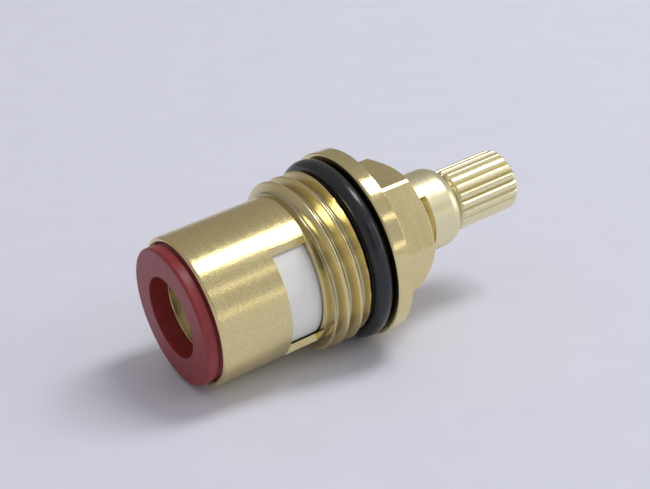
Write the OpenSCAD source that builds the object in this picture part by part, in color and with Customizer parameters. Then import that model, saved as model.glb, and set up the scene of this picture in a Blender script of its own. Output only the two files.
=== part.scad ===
// Quarter-turn ceramic disc tap cartridge, in millimetres, +Z up.
// The cartridge axis lies along +X, inlet seal towards -X, splined spindle towards +X.
// The origin is on the axis, in the plane of the flange face that seats on the tap.
// Positions along the axis are named with _x; angles are measured about the axis from +Y towards +Z.
// The waterway: seal bore, two ports of the fixed disc, gaps of the turning disc, side windows.

/* [Valve body] */
// Major diameter of the G 1/2 pipe thread
thread_d = 20.955; // [19:0.005:23]
// Step down of the thread radius at the start of its lead-in
lead_step = 0.3775; // [0.1:0.0025:0.6]
// Axial length of the thread lead-in
lead_len = 0.4; // [0.2:0.05:1]
// Shoulder between tube and thread
shoulder_x = -8.8; // [-10:0.05:-7.5]
// End of the thread on the flange side
thread_end_x = -2.25; // [-4:0.05:-2.2]
// Outside diameter of the windowed tube
tube_d = 18.2; // [17.6:0.1:18.6]
// Wall of the windowed tube
tube_wall = 0.65; // [0.4:0.05:1]
// Open end of the tube
mouth_x = -21.8; // [-24:0.1:-21]
// Chamfer on the outer edge of the tube mouth
mouth_chamfer = 0.25; // [0.1:0.05:0.4]
// Lead-in on the inner edge of the tube mouth
mouth_lead = 0.2; // [0.1:0.05:0.4]
// Depth of each milled window below the outside of the tube
window_depth = 3.14; // [2.4:0.02:4]
// Window edge nearest the inlet
window_lo_x = -12.9; // [-13.1:0.05:-12]
// How far the windows run into the thread shoulder
window_overrun = 0.3; // [0:0.05:0.6]
// Flange diameter
flange_d = 23.2; // [22.8:0.1:26]
// Flange thickness
flange_t = 2; // [1.5:0.1:3]
// Edge break on the flange
flange_break = 0.1; // [0.05:0.05:0.4]
// Hexagon size across the flats
hex_af = 15; // [14:0.5:19]
// Hexagon height above the flange
hex_h = 6.3; // [4:0.1:8]
// How much the corners of the hexagon are turned down
hex_trim = 0.14; // [0.05:0.01:0.4]
// Turn of the hexagon about the axis
hex_turn = 0; // [-30:0.5:30]
// Diameter of the flat ring left on top of the hexagon
hex_top_d = 14.4; // [13:0.1:18]
// Angle of the hexagon chamfer below the top face
hex_chamfer = 30; // [20:1:45]

/* [Spindle] */
// Journal diameter, the part that turns in the body
journal_d = 8.4; // [8:0.1:8.6]
// Radial running clearance of the journal
run_fit = 0.04; // [0.01:0.01:0.08]
// Collar diameter
collar_d = 10.1; // [9.8:0.1:11]
// Underside of the collar
collar_lo_x = 10.35; // [10:0.05:11]
// Rear end of the collar before its chamfer
collar_hi_x = 13.6; // [13:0.1:14.5]
// Turn of the end of the stop lug, spindle closed
lug_turn = 130; // [90:1:170]
// Sweep of the stop lug
lug_sweep = 180; // [120:1:200]
// Gap under the stop lug
lug_gap = 0.2; // [0.1:0.05:0.4]
// Turn from closed to open
travel = 90; // [80:1:100]
// Clearance at each end stop, as a turn in degrees
stop_turn = 0.5; // [0.2:0.1:2]
// Axial play of the spindle
axial_play = 0.05; // [0.02:0.01:0.1]
// Height of the free gap over the crown
crown_gap = 0.25; // [0.15:0.05:0.5]
// Spline tip diameter
spline_d = 7.9; // [7.4:0.1:8.2]
// Number of spline teeth
spline_teeth = 20; // [16:1:24]
// Depth of the spline grooves
spline_depth = 0.4; // [0.3:0.05:0.7]
// Included angle of the spline grooves
spline_angle = 66; // [60:1:90]
// Turn of the spline grooves about the axis
spline_turn = 0; // [-9:0.5:9]
// How far the spline grooves run out into the collar cone
spline_runout = 0.15; // [0.05:0.05:0.3]
// Outer end of the spindle
spindle_end_x = 24.2; // [22:0.1:30]
// Rounding on the outer end of the spline
spline_round = 0.45; // [0.2:0.05:0.8]
// Core diameter of the tapped hole for the handle screw
screw_core_d = 3.3; // [2.5:0.1:3.4]
// Depth of the tapped hole
screw_depth = 9; // [5:0.5:14]
// Countersink at the mouth of the tapped hole
screw_sink = 0.7; // [0.3:0.1:1]
// Width across the drive tongue at the foot
tongue_w = 3.4; // [2.6:0.1:3.8]
// Length across the drive tongue
tongue_l = 7.1; // [5.5:0.1:7.4]
// Play under the drive tongue
tongue_play = 0.1; // [0.05:0.05:0.3]
// Length of journal left below the retaining clip
foot_len = 0.3; // [0.2:0.1:0.6]

/* [Seals and rings] */
// Cross section of the flange O-ring
flange_cs = 2.3; // [1.8:0.1:2.6]
// Gap between the flange and its O-ring before fitting
flange_gap = 0.15; // [0:0.05:0.4]
// How far the flange O-ring stays inside the flange edge
flange_inset = 0.3; // [0.1:0.05:0.8]
// Cross section of the stem O-rings
stem_cs = 1.1; // [0.8:0.05:1.4]
// Axial position of the upper stem O-ring
stem_hi_x = 5; // [3.5:0.1:6]
// Axial position of the lower stem O-ring
stem_lo_x = 1; // [-1:0.1:2]
// Axial play of the stem O-rings in their grooves
stem_play = 0.3; // [0.2:0.05:0.5]
// Thickness of the thrust washer
washer_t = 0.8; // [0.5:0.1:1.2]
// Rim of the thrust washer between its bore and its outside
washer_rim = 2.25; // [1.5:0.05:2.5]
// Gap between the thrust washer and the journal
washer_play = 0.35; // [0.2:0.05:0.6]
// Thickness of the retaining clip
clip_t = 0.9; // [0.6:0.1:1.2]
// Outside diameter of the retaining clip
clip_d = 11.4; // [10.4:0.1:12]
// Bottom diameter of the groove that holds the clip
clip_groove_d = 6.5; // [5.4:0.1:6.8]
// Sweep of the mouth of the retaining clip
clip_sweep = 100; // [60:5:140]
// Shoulder inside the body that takes the thrust
thrust_x = -3.2; // [-3.4:0.1:-2.8]

/* [Discs and inlet] */
// Face where the two ceramic discs slide on each other
slide_x = -13.25; // [-14:0.05:-13.1]
// Thickness of the fixed disc
fixed_t = 4.6; // [3:0.1:5]
// Thickness of the turning disc
moving_t = 4.8; // [3:0.1:5]
// Lapped gap between the discs
lap_gap = 0.02; // [0.01:0.01:0.05]
// Radial gap round the turning disc
disc_gap = 0.3; // [0.2:0.05:0.5]
// Depth of the key flats of the fixed disc below the chamber wall
key_land = 0.45; // [0.2:0.05:0.8]
// Clearance of seated inner pieces
seat_fit = 0.03; // [0.01:0.01:0.06]
// Sweep of each port in the fixed disc
port_sweep = 74; // [60:1:80]
// Inner diameter of the ports
port_in_d = 4.8; // [3:0.1:6]
// Rim of the fixed disc left outside the ports
port_rim = 1.62; // [1:0.02:3]
// Sweep of each lobe of the turning disc
lobe_sweep = 96; // [86:1:100]
// Hub diameter of the turning disc between its lobes
hub_d = 6.8; // [5:0.1:8]
// Driver thickness
driver_t = 3; // [2:0.1:3.2]
// Radial gap round the driver
driver_gap = 0.75; // [0.4:0.05:2]
// Length of the driver key in the turning disc
key_l = 10; // [7:0.1:11]
// Width of the driver key
key_w = 3.6; // [2.5:0.1:4]
// Depth of the driver key
key_t = 1.6; // [1:0.1:2]
// Play of the driver key and of the tongue
key_play = 0.03; // [0.02:0.01:0.1]
// Free depth under the driver key
pocket_play = 0.1; // [0.05:0.05:0.3]
// How far the seal stands out of the tube
seal_proud = 1.6; // [1:0.05:2.5]
// Set-back of the seal lip from the outside of the tube
seal_step = 0.75; // [0.5:0.05:1.6]
// Bore of the seal
seal_bore_d = 9.9; // [8:0.1:10.5]
// Depth of the seal bore down to the support ring
seal_bore_len = 2.3; // [1.5:0.1:3]
// Rounding of the front edge of the seal
seal_round = 0.25; // [0.1:0.05:0.6]
// Width of the groove in the seal beside the tube mouth
seal_groove_w = 0.35; // [0.2:0.05:0.8]
// How far that groove reaches into the tube
seal_groove_in = 0.1; // [0:0.05:0.3]
// Depth of the groove in the seal beside the tube mouth
seal_groove_t = 0.35; // [0.2:0.05:0.6]
// Outside diameter of the support ring
ring_d = 12.8; // [11:0.1:13.4]
// Bore of the support ring
ring_bore_d = 9.5; // [8:0.1:9.8]
// Lead-in of the support ring bore
ring_lead = 0.2; // [0.1:0.05:0.4]

/* [Output] */
// Node to draw

/* [Hidden] */
$fn = 96;
eps = 0.01;
far = 30;
lead_d = thread_d - 2 * lead_step;
neck_d = flange_d - 2 * (flange_cs + flange_inset);
chamber_d = tube_d - 2 * tube_wall;
window_plane = tube_d / 2 - window_depth;
hex_top_x = flange_t + hex_h;
hex_corner_d = hex_af / cos(30);
hex_turned_d = hex_corner_d - 2 * hex_trim;
hex_cone_d = hex_corner_d * 1.1;
hex_drop = (hex_cone_d - hex_top_d) / 2 * tan(hex_chamfer);
bore_d = journal_d + 2 * run_fit;
window_hi_x = shoulder_x + window_overrun;
crown_hi_x = collar_lo_x - crown_gap;
crown_sweep = 360 - lug_sweep - travel - 2 * stop_turn;
crown_start = lug_turn + travel + stop_turn;
collar_cone = (collar_d - spline_d) / 2;
cone_hi_x = collar_hi_x + collar_cone;
spline_lo_x = cone_hi_x - spline_runout;
stem_groove_d = bore_d - 2 * stem_cs - 2 * run_fit;
stem_groove_w = stem_cs + stem_play;
clip_hi_x = thrust_x - washer_t - axial_play;
clip_lo_x = clip_hi_x - clip_t;
foot_x = clip_lo_x - foot_len;
moving_lo_x = slide_x;
moving_hi_x = moving_lo_x + moving_t;
moving_d = chamber_d - 2 * disc_gap;
driver_d = chamber_d - 2 * driver_gap;
washer_bore_d = journal_d + 2 * washer_play;
washer_d = washer_bore_d + 2 * washer_rim;
driver_lo_x = moving_hi_x;
driver_hi_x = driver_lo_x + driver_t;
tongue_lo_x = driver_lo_x + tongue_play;
fixed_hi_x = slide_x - lap_gap;
fixed_lo_x = fixed_hi_x - fixed_t;
key_flat = chamber_d / 2 - key_land;
port_out_d = chamber_d - 2 * seat_fit - 2 * port_rim;
seal_d = tube_d - 2 * seal_step;
seal_lo_x = mouth_x - seal_proud;
seal_hi_x = fixed_lo_x;
ring_lo_x = seal_lo_x + seal_bore_len;
groove_mid_x = mouth_x - seal_groove_w / 2 + seal_groove_in;

// Turns a piece built upright so that its height runs along +X.
module along_x() {
  rotate([0, 90, 0]) children();
}

// Turns a piece so that its local +X side faces the given angle about the axis.
module facing(angle) {
  rotate([0, 0, angle + 90]) children();
}

// Round bar between two positions on the axis.
module bar(d, x0, x1) {
  translate([0, 0, x0]) cylinder(d = d, h = x1 - x0);
}

// Straight taper between two positions on the axis.
module taper(d0, d1, x0, x1) {
  translate([0, 0, x0]) cylinder(d1 = d0, d2 = d1, h = x1 - x0);
}

// Tube between two positions on the axis.
module tube(d_out, d_in, x0, x1) {
  difference() {
    bar(d_out, x0, x1);
    bar(d_in, x0 - eps, x1 + eps);
  }
}

// Wedge of the given sweep, centred on the local +X side; its outer edge lies beyond the given radius.
module wedge(sweep, radius, x0, x1) {
  steps = 6;
  reach = radius / cos(sweep / 2 / steps);
  rim = [for (i = [0 : steps]) let (a = sweep * (i / steps - 0.5)) [reach * cos(a), reach * sin(a)]];
  translate([0, 0, x0]) linear_extrude(height = x1 - x0) polygon(concat([[0, 0]], rim));
}

// Ring of round section round the axis.
module o_ring(d_in, cs, x) {
  translate([0, 0, x]) rotate_extrude() translate([d_in / 2 + cs / 2, 0]) circle(d = cs);
}

// Hexagon with turned-down corners and a chamfered top, one corner on the +Y side before the turn.
module hexagon() {
  intersection() {
    facing(hex_turn)
      translate([0, 0, flange_t / 2])
        cylinder(d = hex_corner_d, h = hex_top_x - flange_t / 2, $fn = 6);
    bar(hex_turned_d, 0, hex_top_x + eps);
    union() {
      bar(hex_cone_d, 0, hex_top_x - hex_drop);
      taper(hex_cone_d, hex_top_d, hex_top_x - hex_drop, hex_top_x);
    }
  }
}

// Flange with both edges broken.
module flange() {
  taper(flange_d - 2 * flange_break, flange_d, 0, flange_break);
  bar(flange_d, flange_break, flange_t - flange_break);
  taper(flange_d, flange_d - 2 * flange_break, flange_t - flange_break, flange_t);
}

// Thread envelope, neck and tube, before the chamber is bored.
module shank() {
  bar(neck_d, thread_end_x - 1, flange_t / 2);
  taper(thread_d, neck_d, thread_end_x - (thread_d - neck_d) / 2 * 0.6, thread_end_x);
  bar(thread_d, shoulder_x + lead_len, thread_end_x - (thread_d - neck_d) / 2 * 0.6);
  taper(lead_d, thread_d, shoulder_x, shoulder_x + lead_len);
  bar(tube_d, mouth_x + mouth_chamfer, shoulder_x + lead_len);
  taper(tube_d - 2 * mouth_chamfer, tube_d, mouth_x, mouth_x + mouth_chamfer);
}

// Chamber with two inner lands that hold the flats of the fixed disc.
module chamber() {
  taper(chamber_d + 2 * mouth_lead, chamber_d, mouth_x, mouth_x + mouth_lead);
  bar(chamber_d + 2 * mouth_lead, mouth_x - 1, mouth_x);
  difference() {
    bar(chamber_d, mouth_x - eps, thrust_x);
    for (side = [-1, 1])
      translate([side * (key_flat + seat_fit) + (side < 0 ? -2 : 0), -far / 2, fixed_lo_x])
        cube([2, far, fixed_t]);
  }
}

// The two milled side windows.
module windows() {
  for (side = [-1, 1])
    translate([-far / 2, side > 0 ? window_plane : -window_plane - far, window_lo_x])
      cube([far, far, window_hi_x - window_lo_x]);
}

// Sector of a ring on top of the hexagon, the fixed stop for the spindle lug.
module crown() {
  intersection() {
    bar(collar_d, hex_top_x - 0.2, crown_hi_x);
    facing(crown_start + crown_sweep / 2) wedge(crown_sweep, collar_d, hex_top_x - 0.3, far);
  }
}

module valve_body() {
  color("goldenrod") along_x() difference() {
    union() {
      shank();
      flange();
      hexagon();
      crown();
    }
    chamber();
    windows();
    bar(bore_d, thrust_x - eps, crown_hi_x + eps);
  }
}

module flange_oring() {
  color("dimgray") along_x() o_ring(neck_d, flange_cs, -flange_gap - flange_cs / 2);
}

module inlet_seal() {
  lip = seal_d / 2;
  waist = lip - seal_groove_t;
  plug = chamber_d / 2 - seat_fit;
  color("firebrick") along_x() difference() {
    rotate_extrude() polygon([
      [seal_bore_d / 2, seal_lo_x],
      [lip - seal_round, seal_lo_x],
      [lip - seal_round * 0.29, seal_lo_x + seal_round * 0.29],
      [lip, seal_lo_x + seal_round],
      [lip, groove_mid_x - seal_groove_w / 2],
      [waist, groove_mid_x - seal_groove_w * 0.2],
      [waist, groove_mid_x + seal_groove_w * 0.2],
      [plug, groove_mid_x + seal_groove_w * 0.2 + plug - waist],
      [plug, seal_hi_x],
      [seal_bore_d / 2, seal_hi_x]
    ]);
    bar(ring_d + 2 * seat_fit, ring_lo_x, seal_hi_x + eps);
  }
}

module seal_support_ring() {
  color("peru") along_x() difference() {
    tube(ring_d, ring_bore_d, ring_lo_x, seal_hi_x);
    taper(ring_bore_d + 2 * ring_lead, ring_bore_d - 2 * eps, ring_lo_x - eps, ring_lo_x + ring_lead);
  }
}

module fixed_disc() {
  color("whitesmoke") along_x() difference() {
    intersection() {
      bar(chamber_d - 2 * seat_fit, fixed_lo_x, fixed_hi_x);
      translate([-key_flat, -far / 2, fixed_lo_x]) cube([2 * key_flat, far, fixed_t]);
    }
    for (side = [0, 180])
      intersection() {
        tube(port_out_d, port_in_d, -far, far);
        facing(side) wedge(port_sweep, port_out_d, -far, far);
      }
  }
}

module thrust_washer() {
  color("ivory") along_x() tube(washer_d, washer_bore_d, thrust_x - washer_t, thrust_x);
}

// Spline blank with a rounded outer edge, from the collar cone to the outer end.
module spline_blank() {
  tip = spline_d / 2;
  arc = [for (i = [0 : 6]) let (a = 15 * i)
         [tip - spline_round + spline_round * cos(a), spindle_end_x - spline_round + spline_round * sin(a)]];
  rotate_extrude() polygon(concat([[0, cone_hi_x - 1], [tip, cone_hi_x - 1]], arc, [[0, spindle_end_x]]));
}

// V grooves of the spline; they run out into the collar cone as points.
module spline_grooves() {
  root = spline_d / 2 - spline_depth;
  open_r = collar_d / 2 + 1;
  half = (open_r - root) * tan(spline_angle / 2);
  for (i = [0 : spline_teeth - 1])
    facing(i * 360 / spline_teeth + spline_turn)
      translate([0, 0, spline_lo_x])
        linear_extrude(height = far)
          polygon([[root, 0], [open_r, -half], [open_r, half]]);
}

// Groove turned into the journal for a stem O-ring.
module stem_groove(x) {
  tube(journal_d + 1, stem_groove_d, x - stem_groove_w / 2, x + stem_groove_w / 2);
}

module spindle() {
  color("gold") along_x() {
    difference() {
      union() {
        bar(journal_d, foot_x, collar_lo_x + eps);
        bar(collar_d, collar_lo_x, collar_hi_x);
        taper(collar_d, spline_d, collar_hi_x, cone_hi_x);
        spline_blank();
        translate([-tongue_w / 2, -tongue_l / 2, tongue_lo_x])
          cube([tongue_w, tongue_l, foot_x - tongue_lo_x + eps]);
        intersection() {
          bar(collar_d, hex_top_x + lug_gap, collar_lo_x + eps);
          facing(lug_turn - lug_sweep / 2) wedge(lug_sweep, collar_d, hex_top_x, far);
        }
      }
      spline_grooves();
      stem_groove(stem_hi_x);
      stem_groove(stem_lo_x);
      tube(journal_d + 1, clip_groove_d, clip_lo_x, clip_hi_x);
      bar(screw_core_d, spindle_end_x - screw_depth, far);
      taper(screw_core_d, screw_core_d + 2 * screw_sink, spindle_end_x - screw_sink, spindle_end_x + eps);
    }
  }
}

module upper_stem_oring() {
  color("black") along_x() o_ring(stem_groove_d, stem_cs, stem_hi_x);
}

module lower_stem_oring() {
  color("black") along_x() o_ring(stem_groove_d, stem_cs, stem_lo_x);
}

module retaining_clip() {
  color("silver") along_x() difference() {
    tube(clip_d, clip_groove_d, clip_lo_x, clip_hi_x);
    facing(90) wedge(clip_sweep, clip_d, -far, far);
  }
}

module disc_driver() {
  slot_w = tongue_w + 2 * key_play;
  slot_l = tongue_l + 2 * key_play;
  color("burlywood") along_x() difference() {
    union() {
      bar(driver_d, driver_lo_x, driver_hi_x);
      translate([-key_w / 2, -key_l / 2, driver_lo_x - key_t]) cube([key_w, key_l, key_t + eps]);
    }
    translate([-slot_w / 2, -slot_l / 2, driver_lo_x]) cube([slot_w, slot_l, driver_t + 1]);
  }
}

module moving_disc() {
  pocket_w = key_w + 2 * key_play;
  pocket_l = key_l + 2 * key_play;
  color("white") along_x() difference() {
    bar(moving_d, moving_lo_x, moving_hi_x);
    for (side = [90, 270])
      difference() {
        facing(side) wedge(180 - lobe_sweep, moving_d, -far, far);
        bar(hub_d, -far, far);
      }
    translate([-pocket_w / 2, -pocket_l / 2, moving_hi_x - key_t - pocket_play])
      cube([pocket_w, pocket_l, key_t + 1]);
  }
}

valve_body();
flange_oring();
inlet_seal();
seal_support_ring();
fixed_disc();
thrust_washer();
spindle();
upper_stem_oring();
lower_stem_oring();
retaining_clip();
disc_driver();
moving_disc();
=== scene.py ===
# %% [markdown]
# # A ceramic disc tap cartridge
# A quarter-turn cartridge lies on its side on a pale sheet: red inlet seal to the left, splined
# spindle to the right. The CAD model gives the frame, the joint and the plain solids. This file
# dresses it: every visible solid is worked out again as a surface with thread, rounded edges and
# finishes, in the same place and, but for the thread's shoulder and the spindle's neck, to the
# same sizes. Lengths are in millimetres until a mesh is made.

# %% The frame and its CAD box
import bpy
import numpy as np
from mathutils import Matrix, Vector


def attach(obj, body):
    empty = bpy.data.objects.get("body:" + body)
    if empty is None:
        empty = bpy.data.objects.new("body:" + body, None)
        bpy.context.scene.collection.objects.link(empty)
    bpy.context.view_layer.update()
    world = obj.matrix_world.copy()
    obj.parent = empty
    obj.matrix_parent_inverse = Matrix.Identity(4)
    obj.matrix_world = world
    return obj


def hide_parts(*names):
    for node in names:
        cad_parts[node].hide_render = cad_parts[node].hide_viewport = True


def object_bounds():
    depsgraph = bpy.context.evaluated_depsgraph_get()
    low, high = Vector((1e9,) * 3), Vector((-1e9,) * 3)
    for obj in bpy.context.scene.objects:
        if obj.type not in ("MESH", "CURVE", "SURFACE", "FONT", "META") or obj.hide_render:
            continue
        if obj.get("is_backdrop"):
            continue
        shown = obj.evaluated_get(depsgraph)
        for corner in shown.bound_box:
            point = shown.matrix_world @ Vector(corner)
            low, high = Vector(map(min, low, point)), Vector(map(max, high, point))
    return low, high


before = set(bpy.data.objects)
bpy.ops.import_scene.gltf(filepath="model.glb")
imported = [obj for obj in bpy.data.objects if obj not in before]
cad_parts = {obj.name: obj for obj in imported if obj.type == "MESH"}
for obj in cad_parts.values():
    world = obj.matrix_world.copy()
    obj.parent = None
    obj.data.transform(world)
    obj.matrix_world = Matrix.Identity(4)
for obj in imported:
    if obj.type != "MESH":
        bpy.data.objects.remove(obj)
cad_low, cad_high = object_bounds()
MM = 0.001
print("CAD nodes:", len(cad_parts), "CAD length mm:", round((cad_high.x - cad_low.x) / MM, 2))

# %% [markdown]
# ## Grids of points
# Nearly all of a cartridge is turned on a lathe, so most shapes here are an outline of positions
# along the axis and radii, carried round that axis. An angle of 0 points along +Y and 90 degrees
# along +Z. A modelled cylinder with bevels would do as well, but a grid keeps each size in sight.

# %% Points, quads and rounded outlines
GUARD = 1.35  # distance of a guard point from its corner, in radii of that corner


def round_axis(x, r, angle):
    """Points about the axis: x as given, y is r times the cosine of the angle, z is r times its
    sine."""
    x, r, angle = np.broadcast_arrays(x, r, angle)
    return np.stack([x, r * np.cos(angle), r * np.sin(angle)], axis=-1)


def quads(index, ring=True, tube=False):
    """Quads of a grid of point numbers: each point, its neighbour in the row, and the pair in the
    next row. A ring also joins the last column to the first, and a tube the last row."""
    along = np.concatenate([index, index[:1]]) if tube else index
    full = np.concatenate([along, along[:, :1]], axis=1) if ring else along
    corners = [full[:-1, :-1], full[:-1, 1:], full[1:, 1:], full[1:, :-1]]
    return np.stack(corners, axis=-1).reshape(-1, 4)


def softened(outline, radius, steps=4):
    """Rounds a closed outline: corner P becomes (1-t)^2 S + 2t(1-t) P + t^2 E, with S and E set
    back along its two sides by the radius. A guard point beyond S and one beyond E keep the long
    sides flat in the light."""
    p = np.asarray(outline, float)
    r = np.broadcast_to(np.asarray(radius, float), len(p))[:, None]
    back, ahead = np.roll(p, 1, axis=0) - p, np.roll(p, -1, axis=0) - p
    back = back / np.linalg.norm(back, axis=1, keepdims=True)
    ahead = ahead / np.linalg.norm(ahead, axis=1, keepdims=True)
    t = np.linspace(0, 1, steps + 1)[None, :, None]
    s, e = (p + back * r)[:, None], (p + ahead * r)[:, None]
    curve = (1 - t) ** 2 * s + 2 * t * (1 - t) * p[:, None] + t ** 2 * e
    guard_in, guard_out = (p + back * r * GUARD)[:, None], (p + ahead * r * GUARD)[:, None]
    return np.concatenate([guard_in, curve, guard_out], axis=1).reshape(-1, 2)


def turned(outline, steps=216):
    """A closed outline of (x, r) points, outside first, carried once round the axis."""
    angle = np.linspace(0, 2 * np.pi, steps, endpoint=False)
    points = round_axis(outline[:, :1], outline[:, 1:], angle[None, :])
    index = np.arange(points.shape[0] * steps).reshape(-1, steps)
    return points.reshape(-1, 3), quads(index, tube=True).tolist()


def closed_rows(x, r, angle):
    """Rows of radii about the axis; a fan of triangles closes each end at a point on the axis."""
    points = round_axis(x, r, angle).reshape(-1, 3)
    index = np.arange(r.size).reshape(r.shape)
    first, last = index[0], index[-1]
    near = np.stack([np.full_like(first, r.size), np.roll(first, -1), first], axis=-1)
    far = np.stack([last, np.roll(last, -1), np.full_like(last, r.size + 1)], axis=-1)
    poles = [(x[0, 0], 0.0, 0.0), (x[-1, 0], 0.0, 0.0)]
    faces = quads(index).tolist() + near.tolist() + far.tolist()
    return np.concatenate([points, poles]), faces


def sector(outline, start, end, steps):
    """A closed outline of (x, r) points carried from one angle to another, in degrees, with both
    ends capped."""
    angle = np.radians(np.linspace(start, end, steps))
    points = round_axis(outline[:, :1], outline[:, 1:], angle[None, :])
    index = np.arange(points.shape[0] * steps).reshape(-1, steps)
    caps = [index[::-1, 0].tolist(), index[:, -1].tolist()]
    return points.reshape(-1, 3), quads(index, ring=False, tube=True).tolist() + caps


print("grid functions ready: turned, closed_rows, sector")

# %% [markdown]
# ## One way to make a piece
# Each piece is a mesh in its final place, an object at the origin, a body to ride on and a finish.
# Edges under 35 degrees are shaded smooth. A Bevel modifier breaks the edges that a grid leaves
# sharp, as a real edge is broken by tumbling or by a file.

# %% Making a piece
SMOOTH_BELOW, BEVEL_ABOVE = 35, 25  # degrees between faces


def make_piece(name, shape, body, finish, bevel, node):
    """Puts points in millimetres and faces into a mesh, hangs it on its body and lets it stand
    for a node of the CAD model."""
    points, faces = shape
    mesh = bpy.data.meshes.new(name)
    mesh.from_pydata((points * MM).tolist(), [], faces)
    mesh.shade_smooth()
    mesh.set_sharp_from_angle(angle=np.radians(SMOOTH_BELOW))
    mesh.materials.append(finish)
    piece = bpy.data.objects.new(name, mesh)
    bpy.context.scene.collection.objects.link(piece)
    if bevel:
        edge = piece.modifiers.new("broken_edges", "BEVEL")
        edge.width = bevel * MM
        edge.segments = 3
        edge.limit_method = "ANGLE"
        edge.angle_limit = np.radians(BEVEL_ABOVE)
        edge.harden_normals = True
    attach(piece, body)
    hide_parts(node)
    print(f"{name}: {len(points)} points, {len(faces)} faces")


print("edges smooth below and bevelled above, degrees:", SMOOTH_BELOW, BEVEL_ABOVE)

# %% [markdown]
# ## Colours and shader nodes
# Colours are written as sRGB hex values, as a paint chart would give them, and turned to the
# linear values that the renderer adds up. One helper adds any node, sets it and links it.

# %% Helpers for finishes
def linear(code):
    """sRGB hex to linear: up to 0.04045 divide by 12.92, else ((c + 0.055) / 1.055) to the power
    2.4."""
    c = np.array([int(code[i:i + 2], 16) for i in (1, 3, 5)]) / 255
    low, high = c / 12.92, ((c + 0.055) / 1.055) ** 2.4
    return (*np.where(c <= 0.04045, low, high).tolist(), 1.0)


def add(tree, kind, inputs=None, **settings):
    """Adds one node: settings are its own properties, inputs are values or the sockets that feed
    it."""
    made = tree.nodes.new(kind)
    for key, value in settings.items():
        setattr(made, key, value)
    for key, value in (inputs or {}).items():
        if isinstance(value, bpy.types.NodeSocket):
            tree.links.new(value, made.inputs[key])
        else:
            made.inputs[key].default_value = value
    return made


def new_finish(name, **sockets):
    """A material with its shader's sockets set; gives back the material, its tree and the
    shader."""
    finish = bpy.data.materials.new(name)
    finish.use_nodes = True
    shader = finish.node_tree.nodes["Principled BSDF"]
    for key, value in sockets.items():
        shader.inputs[key.replace("_", " ")].default_value = value
    return finish, finish.node_tree, shader


print("middle grey #808080 in linear light:", round(linear("#808080")[0], 3))

# %% [markdown]
# ## Turned brass
# The body and the spindle are free-cutting brass, turned and left bright. The tool leaves fine
# rings round the axis, tumbling leaves a fine grain over them, and handling leaves faint dull
# patches. The rings are a noise squeezed to a fraction of a millimetre along the axis and
# stretched to several round it. Real feed marks are nearer 0.1 mm, too fine to show, so they are
# drawn coarser. Deep in a thread or a groove the tone is painted darker towards the axis, as
# painted shade in the roots.

# %% Brass finishes
PATCH_MM, GRAIN_MM, RING_LENGTH_MM = 2.2, 0.2, 6.25
GRAIN_HIGH_MM, RING_HIGH_MM, PATCH_SHARE = 0.025, 0.007, 0.2
NOISE_LOW, NOISE_HIGH = 0.3, 0.7  # nearly all of a noise lies between these


def brass(name, tone, dull, ring_mm, rough, mark, root=None):
    """Brass with tool rings: tone where clean, dull where handled, ring spacing, roughness and
    mark depth. Where a root is given, as (inner radius, outer radius, colour), the tone changes
    to that colour towards the axis: painted shade in the roots of threads and grooves."""
    finish, tree, shader = new_finish(name, Metallic=1.0, Anisotropic=0.3)
    place = add(tree, "ShaderNodeTexCoord").outputs["Object"]
    around = 1 / (RING_LENGTH_MM * MM)
    squeezed = add(tree, "ShaderNodeMapping",
                   {"Vector": place, "Scale": (1 / (ring_mm * MM), around, around)})
    rings = add(tree, "ShaderNodeTexNoise",
                {"Vector": squeezed.outputs["Vector"], "Scale": 1.0, "Detail": 3.0})
    patches = add(tree, "ShaderNodeTexNoise",
                  {"Vector": place, "Scale": 1 / (PATCH_MM * MM), "Detail": 4.0})
    grain = add(tree, "ShaderNodeTexNoise",
                {"Vector": place, "Scale": 1 / (GRAIN_MM * MM), "Detail": 2.0})
    speckle = add(tree, "ShaderNodeMath",
                  {0: patches.outputs["Fac"], 1: PATCH_SHARE, 2: grain.outputs["Fac"]},
                  operation="MULTIPLY_ADD")
    tint = add(tree, "ShaderNodeValToRGB", {"Fac": speckle.outputs["Value"]})
    first, second = tint.color_ramp.elements
    first.position, second.position = 0.4, 0.8
    first.color, second.color = linear(dull), linear(tone)
    colour = tint.outputs["Color"]
    # Painted shade: towards the axis the tone turns to the root colour, darkening the roots.
    if root:
        inner, outer, painted_root_shade = root
        spoke = add(tree, "ShaderNodeVectorMath", {0: place, 1: (0.0, 1.0, 1.0)},
                    operation="MULTIPLY")
        reach = add(tree, "ShaderNodeVectorMath", {0: spoke.outputs["Vector"]},
                    operation="LENGTH")
        height = add(tree, "ShaderNodeMapRange",
                     {"Value": reach.outputs["Value"], "From Min": inner * MM,
                      "From Max": outer * MM})
        shaded = add(tree, "ShaderNodeMix", {"Factor": height.outputs["Result"]},
                     data_type="RGBA")
        shaded.inputs["A"].default_value = linear(painted_root_shade)
        tree.links.new(colour, shaded.inputs["B"])
        colour = shaded.outputs["Result"]
    gloss = add(tree, "ShaderNodeMapRange",
                {"Value": rings.outputs["Fac"], "From Min": NOISE_LOW,
                 "From Max": NOISE_HIGH, "To Min": rough - 0.03, "To Max": rough + 0.05})
    skin = add(tree, "ShaderNodeBump",
               {"Height": grain.outputs["Fac"], "Strength": mark,
                "Distance": GRAIN_HIGH_MM * MM})
    marks = add(tree, "ShaderNodeBump",
                {"Height": rings.outputs["Fac"], "Strength": mark,
                 "Distance": RING_HIGH_MM * MM, "Normal": skin.outputs["Normal"]})
    round_x = add(tree, "ShaderNodeTangent", direction_type="RADIAL", axis="X")
    tree.links.new(colour, shader.inputs["Base Color"])
    tree.links.new(gloss.outputs["Result"], shader.inputs["Roughness"])
    tree.links.new(marks.outputs["Normal"], shader.inputs["Normal"])
    tree.links.new(round_x.outputs["Tangent"], shader.inputs["Tangent"])
    return finish


# Turned and tumbled: a satin that spreads the bands of light and breaks them up at the edges.
turned_brass = brass("brass_turned", "#EBDDA6", "#DCCB92", 0.22, 0.19, 0.5)
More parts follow.
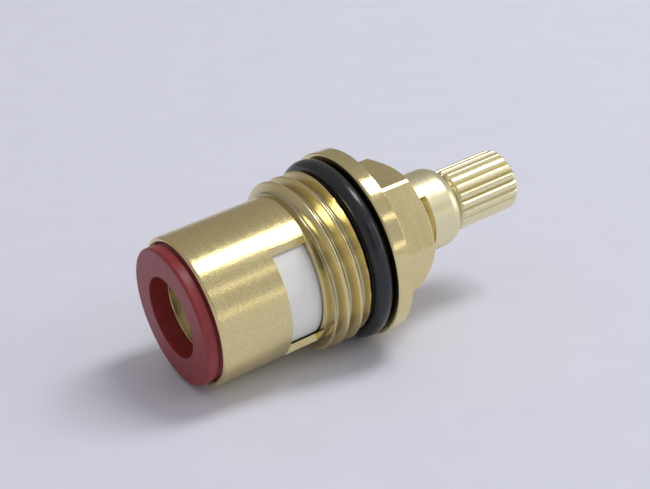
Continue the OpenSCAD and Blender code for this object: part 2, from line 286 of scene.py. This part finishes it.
# Cut with a die: bright crests over roots painted darker, as painted shade.
threaded_brass = brass("brass_thread_cut", "#EADBA6", "#DDCB94", 0.15, 0.2, 0.2,
                       (9.3, 10.2, "#BFB793"))
# Faced with a sharp tool: glossier than the tube, so its rim shows each lamp as a streak.
faced_brass = brass("brass_faced_flange", "#EBDDA6", "#DFCF98", 0.22, 0.12, 0.3)
# Drawn bar: flats with almost no marks, each of one even tone.
drawn_brass = brass("brass_drawn_hexagon", "#EBDDA6", "#E0D098", 0.9, 0.25, 0.1)
# Rolled: paler and duller, with painted shade darkening the grooves and the neck.
spindle_brass = brass("brass_spindle_rolled", "#F2EAC2", "#EBE1B8", 0.3, 0.32, 0.1,
                      (3.5, 3.8, "#B9AE7C"))
brass_names = [b.name for b in (turned_brass, threaded_brass, faced_brass, drawn_brass,
                                spindle_brass)]
print("brass finishes:", brass_names)

# %% [markdown]
# ## Rubber, ceramic, plastic and steel
# The other pieces are moulded, sintered or stamped. Each is a base colour broken by a fine noise
# at the grain of its making.

# %% Moulded and sintered finishes
MOULD_HIGH_MM = 0.02


def moulded(name, tone, shade, grain_mm, rough, mark, **sockets):
    """An even finish: two close tones mixed by a noise of the given grain, which also roughens
    the skin."""
    finish, tree, shader = new_finish(name, **sockets)
    place = add(tree, "ShaderNodeTexCoord").outputs["Object"]
    grain = add(tree, "ShaderNodeTexNoise",
                {"Vector": place, "Scale": 1 / (grain_mm * MM), "Detail": 4.0})
    tint = add(tree, "ShaderNodeValToRGB", {"Fac": grain.outputs["Fac"]})
    first, second = tint.color_ramp.elements
    first.position, second.position = 0.35, 0.65
    first.color, second.color = linear(shade), linear(tone)
    gloss = add(tree, "ShaderNodeMapRange",
                {"Value": grain.outputs["Fac"], "From Min": NOISE_LOW,
                 "From Max": NOISE_HIGH, "To Min": rough - 0.05, "To Max": rough + 0.05})
    skin = add(tree, "ShaderNodeBump",
               {"Height": grain.outputs["Fac"], "Strength": mark,
                "Distance": MOULD_HIGH_MM * MM})
    tree.links.new(tint.outputs["Color"], shader.inputs["Base Color"])
    tree.links.new(gloss.outputs["Result"], shader.inputs["Roughness"])
    tree.links.new(skin.outputs["Normal"], shader.inputs["Normal"])
    return finish


# Dusty red rubber: half matt, so its flat face greys at a low angle.
red_rubber = moulded("rubber_red_moulded", "#942B2C", "#882527", 0.9, 0.40, 0.1, IOR=1.52)
# Smooth black nitrile: a soft line of light along each ring.
nitrile = moulded("rubber_black_nitrile", "#28292F", "#222328", 0.4, 0.22, 0.05, IOR=1.47)
# Lapped alumina: white and even.
alumina = moulded("ceramic_lapped_alumina", "#F9F9F5", "#F7F7F3", 8.0, 0.30, 0.0, IOR=1.76)
# Acetal and nylon: a cream and a tan with a moulded grain.
washer_plastic = moulded("plastic_acetal_moulded", "#EDE8DA", "#E4DECD", 0.7, 0.4, 0.1, IOR=1.48)
driver_plastic = moulded("plastic_nylon_moulded", "#C9B08A", "#BDA37C", 0.6, 0.45, 0.15, IOR=1.53)
# Spring steel: bright and grey.
spring_steel = moulded("steel_spring_bright", "#C9CBCC", "#B9BBBD", 0.3, 0.28, 0.15, Metallic=1.0)
print("other finishes:", red_rubber.name, nitrile.name, alumina.name, spring_steel.name)

# %% [markdown]
# ## The windowed tube
# The lower body is a thin tube that holds the discs. Two windows are milled across it, so each
# leaves a pair of flat ledges, and a narrow ring of tube stays whole between them and the shoulder
# of the thread. A boolean cut would give the same, but two walls on one grid, with the window
# cells left out and the ledges joined by hand, keep clean edges for the bevel.

# %% Tube with two windows
TUBE_R, CHAMBER_R, WINDOW_Y = 9.1, 8.45, 5.96
MOUTH_X, WINDOW_X, WINDOW_END_X, SHOULDER_X = -21.8, -12.9, -8.42, -7.9
OVER, BETWEEN = 24, 30  # columns across a window, and along the arc to the next one
HALF_TURN = OVER + BETWEEN
MOUTH_CHAMFER, BORE_CHAMFER = 0.25, 0.2
EDGE_ROW, UNDER_THREAD = 0.15, 0.1  # a row beside each window end; overlap with the thread


def window_columns(r):
    """Angles round one wall: steps across each window, whose edge is where r times the cosine
    meets the milled plane, then steps along the arc to the next window."""
    h = np.arccos(WINDOW_Y / r)
    spans = [(-h, h, OVER), (h, np.pi - h, BETWEEN),
             (np.pi - h, np.pi + h, OVER), (np.pi + h, 2 * np.pi - h, BETWEEN)]
    return np.concatenate([np.linspace(a, b, n, endpoint=False) for a, b, n in spans])


def windowed_tube():
    """Outer and inner wall on one grid. Between the two window edges only the two arcs of columns
    are kept."""
    x_wall = [MOUTH_X + 0.4, -17.0, WINDOW_X - EDGE_ROW, WINDOW_X, -10.7, WINDOW_END_X,
              WINDOW_END_X + EDGE_ROW, SHOULDER_X + UNDER_THREAD]
    x_out = np.array([MOUTH_X, MOUTH_X + MOUTH_CHAMFER, *x_wall])
    x_in = np.array([MOUTH_X, MOUTH_X + BORE_CHAMFER, *x_wall])
    rows = x_out.size
    start, stop = 5, 7  # the rows at the two ends of the window
    r_out, r_in = np.full(rows, TUBE_R), np.full(rows, CHAMBER_R)
    r_out[0], r_in[0] = TUBE_R - MOUTH_CHAMFER, CHAMBER_R + BORE_CHAMFER
    outer = round_axis(x_out[:, None], r_out[:, None], window_columns(TUBE_R)[None, :])
    inner = round_axis(x_in[:, None], r_in[:, None], window_columns(CHAMBER_R)[None, :])
    columns = 2 * HALF_TURN
    o = np.arange(rows * columns).reshape(rows, columns)
    i = o + o.size
    faces = [quads(o[:start + 1]), quads(i[:start + 1][::-1]), quads(np.stack([i[0], o[0]]))]
    faces += [quads(o[stop:]), quads(i[stop:][::-1]), quads(np.stack([o[-1], i[-1]]))]
    for first in (OVER, OVER + HALF_TURN):
        arc = np.arange(first, first + BETWEEN + 1) % columns
        arc_o, arc_i = o[start:stop + 1, arc], i[start:stop + 1, arc]
        faces += [quads(arc_o, ring=False), quads(arc_i[::-1], ring=False)]
        faces.append(quads(np.stack([arc_i[:, 0], arc_o[:, 0]]), ring=False))
        faces.append(quads(np.stack([arc_o[:, -1], arc_i[:, -1]]), ring=False))
    for first in (0, HALF_TURN):
        part = np.arange(first, first + OVER + 1)
        faces.append(quads(np.stack([o[start, part], i[start, part]]), ring=False))
        faces.append(quads(np.stack([i[stop, part], o[stop, part]]), ring=False))
    points = np.concatenate([outer.reshape(-1, 3), inner.reshape(-1, 3)])
    return points, np.concatenate(faces).tolist()


make_piece("body_tube", windowed_tube(), "housing", turned_brass, 0.05, "valve_body")

# %% [markdown]
# ## The pipe thread
# The body screws into the tap with a half-inch pipe thread: 14 turns to the inch, so 1.814 mm a
# turn, with rounded crests and roots. The CAD model has only its outer envelope. Here the radius
# is a function of the distance along the helix, which a Screw modifier could also give, but
# without the tapered start, the rounded edge of the shoulder and the run-out towards the neck.

# %% Thread surface
PITCH, THREAD_R, CREST_ROUND, ROOT_ROUND = 1.814, 10.4775, 0.2, 0.3
FLANK_LEAN = np.radians(27.5)
CREST_X, CREST_ANGLE = -6.25, np.radians(185)  # a point that the helix of crests passes through
LEAD_R, LEAD_SLOPE, EDGE_ROUND = 10.1, 0.94, 0.12
THREAD_END_X, RUNOUT, NECK_R = -2.25, 0.6, 9.0
RELIEF_R, RELIEF_X, RELIEF_END_X = 9.45, THREAD_END_X - 0.5, THREAD_END_X - 0.07
SUNK = 0.02  # how far the band's end lies under the neck


def thread_radius(x, angle):
    """u is the distance along x from the nearest crest, w from the nearest root: a small arc at
    the crest, a straight flank at 27.5 degrees, and a wide arc upside down at the root, each
    tangent to the flank. The lead-in rises from the shoulder by 0.94 for each millimetre, and the
    run-out falls to the neck by one millimetre in each 0.6."""
    turn = (x - CREST_X) / PITCH - (angle - CREST_ANGLE) / (2 * np.pi)
    u = np.abs((turn + 0.5) % 1.0 - 0.5) * PITCH
    w = PITCH / 2 - u
    sine, cosine, tangent = np.sin(FLANK_LEAN), np.cos(FLANK_LEAN), np.tan(FLANK_LEAN)
    flank = THREAD_R - CREST_ROUND * (1 - sine) - (u - CREST_ROUND * cosine) / tangent
    crest = THREAD_R - CREST_ROUND + np.sqrt(np.maximum(CREST_ROUND ** 2 - u ** 2, 0))
    drop = (PITCH / 2 - (CREST_ROUND + ROOT_ROUND) * cosine) / tangent
    floor = THREAD_R - drop - (CREST_ROUND + ROOT_ROUND) * (1 - sine)
    root = floor + ROOT_ROUND - np.sqrt(np.maximum(ROOT_ROUND ** 2 - w ** 2, 0))
    r = np.where(u < CREST_ROUND * cosine, crest, np.where(w < ROOT_ROUND * cosine, root, flank))
    lead = np.minimum(LEAD_R + (x - SHOULDER_X) * LEAD_SLOPE, THREAD_R)
    near_edge = np.clip((SHOULDER_X + EDGE_ROUND - x) / EDGE_ROUND, 0, 1)
    r = np.minimum(r, lead) - EDGE_ROUND * (1 - np.sqrt(1 - near_edge ** 2))
    runout = NECK_R + (THREAD_END_X - x) / RUNOUT
    relief = np.where((x > RELIEF_X) & (x < RELIEF_END_X), RELIEF_R, NECK_R - SUNK)
    return np.maximum(np.minimum(r, runout), relief)


def threaded_band(rows=128, columns=240):
    """Rows from the shoulder to the neck, closer together on its rounded edge, and columns round
    the axis. One more row at each end closes the band down to the bore."""
    edge = SHOULDER_X + EDGE_ROUND * (1 - np.cos(np.radians(np.linspace(0, 90, 7))))
    x = np.concatenate([edge, np.linspace(edge[-1] + 0.04, THREAD_END_X + 0.2, rows)])[:, None]
    angle = np.linspace(0, 2 * np.pi, columns, endpoint=False)[None, :]
    inner = np.full((1, columns), CHAMBER_R + 0.05)
    r = np.concatenate([inner, thread_radius(x, angle), inner])
    points = round_axis(np.concatenate([x[:1], x, x[-1:]]), r, angle)
    index = np.arange(r.size).reshape(r.shape)
    return points.reshape(-1, 3), quads(index, tube=True).tolist()


make_piece("body_thread", threaded_band(), "housing", threaded_brass, 0, "valve_body")

# %% [markdown]
# ## Neck and flange
# The flange seats on the tap and squeezes the O-ring that lies on the neck. Its outline is turned,
# with a wider rounding on the edge towards the thread.

# %% Neck and flange
FLANGE_R, FLANGE_T, BORE_R, NECK_X = 11.6, 2.0, 4.24, -3.2
flange_outline = softened([(NECK_X, NECK_R), (0, NECK_R), (0, FLANGE_R), (FLANGE_T, FLANGE_R),
                           (FLANGE_T, BORE_R), (NECK_X, BORE_R)],
                          [0.05, 0.1, 0.3, 0.1, 0.05, 0.05])
make_piece("body_flange", turned(flange_outline), "housing", faced_brass, 0,
           "valve_body")

# %% [markdown]
# ## Hexagon
# The hexagon is left from the bar stock, so its flats are smooth; its corners are turned down a
# little, and a 30 degree chamfer cuts its top. The chamfer meets each flat along a curve, so each
# column of the grid ends its flat where that curve crosses it.

# %% Hexagon with its chamfer
HEX_FLAT, HEX_TOP_X, HEX_TOP_R, CORNER_R = 7.5, 8.3, 7.2, 8.52
HEX_FOOT_X, HEX_CHAMFER = FLANGE_T - 0.1, np.radians(30)


def hexagon_grid(per_flat=15):
    """Radius to the flat is 7.5 over the cosine of the angle from its middle, and no more than
    the turned corner; the chamfer starts at the top less (radius - 7.2) times the tangent of 30
    degrees."""
    edge_turn = np.arccos(HEX_FLAT / CORNER_R)
    off = np.concatenate([np.linspace(-edge_turn, edge_turn, per_flat), [np.radians(30)]])
    angle = (off[None, :] + np.radians(30 + 60 * np.arange(6))[:, None]).reshape(-1)
    r = np.minimum(HEX_FLAT / np.cos(np.tile(off, 6)), CORNER_R)
    edge = HEX_TOP_X - (r - HEX_TOP_R) * np.tan(HEX_CHAMFER)
    foot, top = np.full_like(r, HEX_FOOT_X), np.full_like(r, HEX_TOP_X)
    rim, bore = np.full_like(r, HEX_TOP_R), np.full_like(r, BORE_R)
    middle = FLANGE_T + 0.4 * (edge - FLANGE_T)
    x = np.stack([foot, middle, edge - 0.12, edge, top, top, foot])
    radius = np.stack([r, r, r, r, rim, bore, bore])
    points = round_axis(x, radius, angle[None, :])
    index = np.arange(points.shape[0] * angle.size).reshape(-1, angle.size)
    return points.reshape(-1, 3), quads(index, tube=True).tolist()


make_piece("body_hexagon", hexagon_grid(), "housing", drawn_brass, 0.06, "valve_body")

# %% [markdown]
# ## Stop crown
# On top of the hexagon stands a sector of a ring, and the spindle carries another. Where they
# meet, the quarter turn ends. Both are short sectors of a rectangular outline.

# %% Crown on the body
STOP_IN_R, COLLAR_R = 4.24, 5.05
CROWN_X, CROWN_TOP_X, CROWN_FROM, CROWN_TO = 8.2, 10.1, 220.5, 309.5
crown_outline = softened([(CROWN_X, COLLAR_R), (CROWN_TOP_X, COLLAR_R), (CROWN_TOP_X, STOP_IN_R),
                          (CROWN_X, STOP_IN_R)], 0.06, 2)
make_piece("body_crown", sector(crown_outline, CROWN_FROM, CROWN_TO, 32), "housing",
           turned_brass, 0, "valve_body")

# %% [markdown]
# ## The spindle inside the body
# The spindle is one turned bar. Inside the body it has a journal with a clip groove and two O-ring
# grooves, and a tongue at the foot that drives the discs. The stop lug stands just outside.

# %% Journal, lug and tongue
JOURNAL_R, CLIP_R, ORING_R, CORE_R = 4.2, 3.25, 3.1, 1.0
JOURNAL_X, JOURNAL_END_X = -5.25, 10.6
grooves = [(-4.95, -4.05, CLIP_R), (0.3, 1.7, ORING_R), (4.3, 5.7, ORING_R)]
journal = [(JOURNAL_X, JOURNAL_R)]
for low, high, floor in grooves:
    journal += [(low, JOURNAL_R), (low, floor), (high, floor), (high, JOURNAL_R)]
journal += [(JOURNAL_END_X, JOURNAL_R), (JOURNAL_END_X, CORE_R), (JOURNAL_X, CORE_R)]
make_piece("spindle_journal", turned(softened(journal, 0.06, 2), 96), "spindle_set",
           spindle_brass, 0, "spindle")

LUG_X, LUG_IN_R, LUG_FROM, LUG_TO = 8.5, 4.0, -50, 130
lug_outline = softened([(LUG_X, COLLAR_R), (JOURNAL_END_X, COLLAR_R), (JOURNAL_END_X, LUG_IN_R),
                        (LUG_X, LUG_IN_R)], 0.06, 2)
make_piece("spindle_lug", sector(lug_outline, LUG_FROM, LUG_TO, 60), "spindle_set",
           spindle_brass, 0, "spindle")

TONGUE_X, TONGUE_Y, TONGUE_Z = (-8.35, -5.2), (-3.55, 3.55), (-1.7, 1.7)
box_corners = np.array([(x, y, z) for x in TONGUE_X for y in TONGUE_Y for z in TONGUE_Z])
box_faces = [[0, 1, 3, 2], [4, 6, 7, 5], [0, 4, 5, 1], [2, 3, 7, 6], [0, 2, 6, 4], [1, 5, 7, 3]]
make_piece("spindle_tongue", (box_corners, box_faces), "spindle_set",
           spindle_brass, 0.1, "spindle")

# %% [markdown]
# ## Collar, neck and spline
# Outside the body the collar tapers a little and drops to a narrow neck, and then comes the spline
# for the handle. It has 20 teeth with V grooves. The inner ends of the teeth are chamfered, and
# the neck and the groove floors carry painted shade, so they stand as a row of dark points along
# the neck. A tapped hole for the handle's screw lies in the end; its helix is a small wave on the
# wall of the hole.

# %% Collar and spline
SPLINE_R, SPLINE_ROOT, SPINDLE_NECK_R, TEETH, END_X = 3.95, 3.55, 3.5, 20, 24.2
GROOVE_LEAN, GROOVE_X, TOOTH_ROUND, END_ROUND = np.radians(40), 15.15, 0.11, 0.45
HOLE_R, HOLE_X, HOLE_END_X, HOLE_PITCH = 1.65, 23.4, 15.3, 0.7
CHAMFER_X, CHAMFER_END_X, CHAMFER_ROWS = 15.2, 15.65, 12
FLOOR_ROUND = 0.03  # share of a tooth's pitch over which the floor of its groove is rounded
WAVE, WAVE_CLIP, WAVE_FADE = 0.16, 0.1, 0.4  # of the tapped hole's helix
UNCUT_R = 9.0  # a cut so far out that it takes nothing away
COLLAR_OUTLINE = [(10.35, 4.3), (10.35, 4.93), (10.385, 5.015), (10.47, COLLAR_R),
                  (10.6, COLLAR_R), (12.0, COLLAR_R), (13.3, COLLAR_R), (13.42, 5.04),
                  (13.55, 5.0), (13.8, 4.92), (14.1, 4.8), (14.3, 4.68), (14.42, 4.52),
                  (14.48, 4.3), (14.52, 3.9), (14.58, 3.6), (14.7, SPINDLE_NECK_R),
                  (15.1, SPINDLE_NECK_R)]


def smooth_lower(a, b, k):
    """The lower of two heights with a blend of width k: h = clip(0.5 + (b - a) / 2k), then
    b + (a - b)h - k h(1 - h)."""
    h = np.clip(0.5 + 0.5 * (b - a) / k, 0, 1)
    return b + (a - b) * h - k * h * (1 - h)


def spline_outside():
    """Rows (x, r) of the turned outline: collar, neck, chamfered tooth ends, spline and rounded
    end."""
    end = np.radians(np.linspace(0, 90, 6))
    chamfer_x = np.linspace(CHAMFER_X, CHAMFER_END_X, CHAMFER_ROWS)
    chamfer_r = np.linspace(SPINDLE_NECK_R + 0.02, SPLINE_R, CHAMFER_ROWS)
    spline_x = [15.75, 16.0, 17.0, 20.0, 23.0, 23.6]
    return np.concatenate([
        COLLAR_OUTLINE,
        np.column_stack([chamfer_x, chamfer_r]),
        np.column_stack([spline_x, np.full(len(spline_x), SPLINE_R)]),
        np.column_stack([END_X - END_ROUND + END_ROUND * np.sin(end),
                         SPLINE_R - END_ROUND + END_ROUND * np.cos(end)])])


def spline_inside(rows=82):
    """Rows (x, r) of the end face, the countersink and the tapped hole down to its point."""
    hole_x = np.linspace(HOLE_X, HOLE_END_X, rows)
    return np.concatenate([[(END_X, 3.2), (END_X, 2.4), (END_X - 0.05, 2.33), (23.55, 1.7)],
                           np.column_stack([hole_x, np.full(rows, HOLE_R)]), [(14.9, 0.8)]])


def spline_head(per_tooth=20):
    """The radius outside is the lower of the turned outline and a V of 80 degrees along each
    groove, which at the angle phi from its floor is the root times tan 40 over
    (cos phi tan 40 - sin phi). The radius in the hole is its core with a clipped cosine wave
    along the helix, faded in at the mouth."""
    outside, inside = spline_outside(), spline_inside()
    tooth = np.linspace(-0.5, 0.5, per_tooth, endpoint=False)
    angle = 2 * np.pi / TEETH * (tooth[None, :] + np.arange(TEETH)[:, None]).reshape(-1)
    phi = 2 * np.pi / TEETH * np.sqrt(np.tile(tooth, TEETH) ** 2 + FLOOR_ROUND ** 2)
    slope = np.tan(GROOVE_LEAN)
    groove = SPLINE_ROOT * slope / np.maximum(np.cos(phi) * slope - np.sin(phi), 0.2)
    cut = np.where(outside[:, :1] > GROOVE_X, groove[None, :], UNCUT_R)
    rows_out = smooth_lower(outside[:, 1:], cut, TOOTH_ROUND)
    helix = WAVE * np.cos(2 * np.pi * inside[:, :1] / HOLE_PITCH - angle[None, :])
    fade = np.clip((HOLE_X - inside[:, :1]) / WAVE_FADE, 0, 1) * (inside[:, 1:] > HOLE_R - 0.05)
    rows_in = inside[:, 1:] + np.clip(helix, -WAVE_CLIP, WAVE_CLIP) * fade
    x = np.concatenate([outside[:, :1], inside[:, :1]])
    return closed_rows(x, np.concatenate([rows_out, rows_in]), angle[None, :])


make_piece("spindle_head", spline_head(), "spindle_set", spindle_brass, 0,
           "spindle")

# %% [markdown]
# ## Seal, support ring and flange O-ring
# The seal is pushed into the mouth of the tube and stands out of it, so the tap seat squeezes it.
# Its flat face has a rounded edge, and a groove beside the tube lets it bulge. A brass ring inside
# keeps it from collapsing. The O-ring is a plain torus on the neck.

# %% Seal and rings
SEAL_X, SEAL_END_X, SEAL_STEP_X = -23.4, -17.9, -21.1
SEAL_BORE_R, SEAL_R, SEAL_GROOVE_R, SEAL_FIT_R, SEAL_STEP_R = 4.95, 8.35, 8.0, 8.42, 6.45
seal_outline = softened([(SEAL_X, SEAL_BORE_R), (SEAL_X, SEAL_R), (-22.05, SEAL_R),
                         (-21.95, SEAL_GROOVE_R), (MOUTH_X, SEAL_GROOVE_R), (-21.38, SEAL_FIT_R),
                         (SEAL_END_X, SEAL_FIT_R), (SEAL_END_X, SEAL_STEP_R),
                         (SEAL_STEP_X, SEAL_STEP_R), (SEAL_STEP_X, SEAL_BORE_R)],
                        [0.12, 0.35, 0.06, 0.05, 0.05, 0.1, 0.1, 0.1, 0.1, 0.05])
make_piece("inlet_seal_skin", turned(seal_outline), "housing", red_rubber, 0,
           "inlet_seal")
RING_X, RING_R, RING_BORE_R = -21.09, 6.4, 4.75
ring_outline = softened([(RING_X, RING_R), (SEAL_END_X, RING_R), (SEAL_END_X, RING_BORE_R),
                         (RING_X, RING_BORE_R)], [0.1, 0.1, 0.1, 0.14])
make_piece("support_ring_skin", turned(ring_outline), "housing", turned_brass, 0,
           "seal_support_ring")

ORING_X, ORING_MID_R, ORING_HALF = -1.3, 10.15, 1.15
around = np.linspace(0, -2 * np.pi, 48, endpoint=False) + np.pi
oring_outline = np.column_stack([ORING_X + ORING_HALF * np.cos(around),
                                 ORING_MID_R + ORING_HALF * np.sin(around)])
make_piece("flange_oring_skin", turned(oring_outline), "housing", nitrile, 0,
           "flange_oring")

# %% [markdown]
# ## The turning disc
# Through the windows the turning disc shows: two lobes of white ceramic on a hub. Its outline is a
# radius given for each angle, with a pair of columns at each lobe side, and it is drawn out along
# the axis with lapped edges.

# %% Turning disc
DISC_X, DISC_END_X, LOBE_R, HUB_R = -13.25, -8.3, 8.15, 3.4
LOBE_HALF, SIDE_STEP = 48, 0.4  # degrees


def lobed_disc(per_lobe=49, per_gap=25):
    """Lobes of 48 degrees to each side of +Y and of -Y: radius 8.15 on the lobes and 3.4 between
    them. A fan to the axis closes each end."""
    lobe = np.linspace(-LOBE_HALF, LOBE_HALF, per_lobe)
    gap = np.linspace(LOBE_HALF + SIDE_STEP, 180 - SIDE_STEP - LOBE_HALF, per_gap)
    angle = np.radians(np.concatenate([lobe, gap, lobe + 180, gap + 180]))
    r = np.concatenate([np.full(per_lobe, LOBE_R), np.full(per_gap, HUB_R)] * 2)
    return closed_rows(np.array([[DISC_X], [DISC_END_X]]), np.stack([r, r]), angle[None, :])


make_piece("turning_disc_skin", lobed_disc(), "spindle_set", alumina, 0.12,
           "moving_disc")

# %% [markdown]
# ## Pieces kept as CAD solids
# The fixed disc, the driver, the washer, the clip and the stem O-rings lie inside the body. Their
# solids are plain and need only a finish.

# %% Finishes on the inner solids
inner_finish = {"fixed_disc": alumina, "disc_driver": driver_plastic,
                "thrust_washer": washer_plastic, "retaining_clip": spring_steel,
                "upper_stem_oring": nitrile, "lower_stem_oring": nitrile}
for solid, finish in inner_finish.items():
    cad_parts[solid].data.materials.clear()
    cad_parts[solid].data.materials.append(finish)
print("inner solids dressed:", len(inner_finish))

# %% [markdown]
# ## The sheet under the cartridge
# The cartridge rests on two points, the rim of the flange and the mouth of the tube, so the sheet
# under it is tilted against the axis by about 6.5 degrees. From here on, lengths are in metres.

# %% Sheet
SHEET_HALF, SHEET_Z, SHEET_SLOPE = 1.6, -0.0116, 0.1147


def flat_quad(name, points, finish):
    """One flat face of the set, with its four corners in metres."""
    mesh = bpy.data.meshes.new(name)
    mesh.from_pydata(points.tolist(), [], [[0, 1, 2, 3]])
    mesh.materials.append(finish)
    quad = bpy.data.objects.new(name, mesh)
    bpy.context.scene.collection.objects.link(quad)
    return quad


# Matt paper: pale and slightly blue, with no shine of its own.
sheet_finish = moulded("paper_matt_sheet", "#EAECFA", "#E8EAF8", 6.0, 0.85, 0.0, IOR=1.4)
span = SHEET_HALF * np.array([(-1, -1), (1, -1), (1, 1), (-1, 1)])
sheet_points = np.column_stack([span, SHEET_Z - SHEET_SLOPE * span[:, 0]])
table_sheet = flat_quad("table_sheet", sheet_points, sheet_finish)
table_sheet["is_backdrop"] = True
print("sheet tilt degrees:", round(float(np.degrees(np.arctan(SHEET_SLOPE))), 2))

# %% [markdown]
# ## Lamps
# A long softbox overhead gives the white band on the tube, and two thin, warm strips on the near
# side give the streaks below it. A panel on the right draws the line of light on the O-ring and
# lifts the faces towards the spindle.

# %% Lamps
def softbox(name, aim, distance, length, width, radiance, tone):
    """A rectangular lamp: it stands along the direction aim, its long side along X, and faces the
    origin. Its power is radiance times pi times area."""
    aim = np.array(aim) / np.linalg.norm(aim)
    across = np.cross(aim, (1.0, 0.0, 0.0))
    across /= np.linalg.norm(across)
    along = np.cross(across, aim)
    lamp = bpy.data.lights.new(name, "AREA")
    lamp.shape, lamp.size, lamp.size_y = "RECTANGLE", length, width
    lamp.energy, lamp.color = radiance * np.pi * length * width, linear(tone)[:3]
    holder = bpy.data.objects.new(name, lamp)
    turn = np.eye(4)
    turn[:3, :3] = np.column_stack([along, across, aim])
    turn[:3, 3] = aim * distance
    holder.matrix_world = Matrix(turn.tolist())
    holder.visible_camera = False
    bpy.context.scene.collection.objects.link(holder)
    print(f"{name}: {length} by {width} m, {distance} m away")


softbox("overhead_softbox", (0.60, -0.10, 0.90), 1.1, 0.62, 0.29, 8.4, "#FFFFFF")
softbox("near_strip_high", (0.43, -0.69, 0.60), 1.2, 1.3, 0.08, 1.45, "#FFF6E6")
softbox("near_strip_low", (0.42, -0.90, 0.09), 1.3, 1.4, 0.12, 0.9, "#FFF6E6")
softbox("right_panel", (0.92, -0.33, 0.14), 1.3, 0.5, 0.55, 1.8, "#FFFFFF")

# %% [markdown]
# ## Grey card
# Bright metal shows what stands round it. A small grey card behind the camera darkens the flanks
# of the thread that face it, and so sets the crests apart from them.

# %% Dark card behind the camera
CARD_AIM, CARD_AWAY = (-0.50, -0.76, 0.42), 0.75
# Matt grey card: seen only as a darker patch in the brass.
card_finish = moulded("paper_grey_card", "#77777B", "#727276", 4.0, 0.9, 0.0, IOR=1.4)
toward_card = np.array(CARD_AIM) / np.linalg.norm(CARD_AIM)
card_side = np.cross(toward_card, (0.0, 0.0, 1.0))
card_side /= np.linalg.norm(card_side)
card_up = np.cross(card_side, toward_card)
corners = np.array([(-0.18, -0.22), (0.18, -0.22), (0.18, 0.24), (-0.18, 0.24)])
card_points = CARD_AWAY * toward_card + corners[:, :1] * card_side + corners[:, 1:] * card_up
dark_card = flat_quad("dark_card", card_points, card_finish)
dark_card.visible_camera = False
dark_card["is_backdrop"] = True
print("dark card, lowest point mm:", round(float(card_points[:, 2].min()) / MM, 1))

# %% [markdown]
# ## World
# The room is an even fill, lighter and cooler on the near side, darker and warmer on the far side.

# %% World
NEAR_TONE, FAR_TONE = "#C1C1C8", "#9A9590"
world = bpy.data.worlds.new("studio_fill")
bpy.context.scene.world = world
world.use_nodes = True
tree = world.node_tree
direction = add(tree, "ShaderNodeTexCoord").outputs["Generated"]
toward = add(tree, "ShaderNodeSeparateXYZ", {"Vector": direction})
depth = add(tree, "ShaderNodeMapRange",
            {"Value": toward.outputs["Y"], "From Min": -1.0, "From Max": 1.0})
room = add(tree, "ShaderNodeValToRGB", {"Fac": depth.outputs["Result"]})
near_end, far_end = room.color_ramp.elements
near_end.color, far_end.color = linear(NEAR_TONE), linear(FAR_TONE)
tree.links.new(room.outputs["Color"], tree.nodes["Background"].inputs["Color"])
print("world tones, near side and far side:", NEAR_TONE, FAR_TONE)

# %% [markdown]
# ## Camera
# Its place, its three directions and its lens come from a perspective fit to the rims of the
# thread, tube, flange and hexagon.

# %% Camera at the photograph's place
EYE_MM, LENS_MM = (-73.763, -125.671, 78.316), 76.47
RIGHT, DOWN = (0.82894, -0.546, -0.12143), (-0.35054, -0.33793, -0.87346)
AHEAD = (0.43587, 0.76661, -0.47152)
camera = bpy.data.cameras.new("camera")
camera.sensor_fit, camera.sensor_width, camera.lens = "HORIZONTAL", 36.0, LENS_MM
camera.clip_start, camera.clip_end = 0.001, 20.0
place = np.eye(4)
place[:3, :3] = np.column_stack([RIGHT, -np.array(DOWN), -np.array(AHEAD)])
place[:3, 3] = np.array(EYE_MM) * MM
viewer = bpy.data.objects.new("camera", camera)
viewer.matrix_world = Matrix(place.tolist())
bpy.context.scene.collection.objects.link(viewer)
bpy.context.scene.camera = viewer
bpy.context.scene.view_settings.view_transform = "Standard"
print("lens mm:", camera.lens)

# %% [markdown]
# The box of the dressed cartridge is set against the CAD box: the difference of each bound is
# printed. The dressed cartridge has to stay inside the CAD box.

# %% Sizes and finish
low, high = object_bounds()
change = [round((b - a) / MM, 3) for a, b in zip([*cad_low, *cad_high], [*low, *high])]
print("dressed minus CAD, mm:", change)
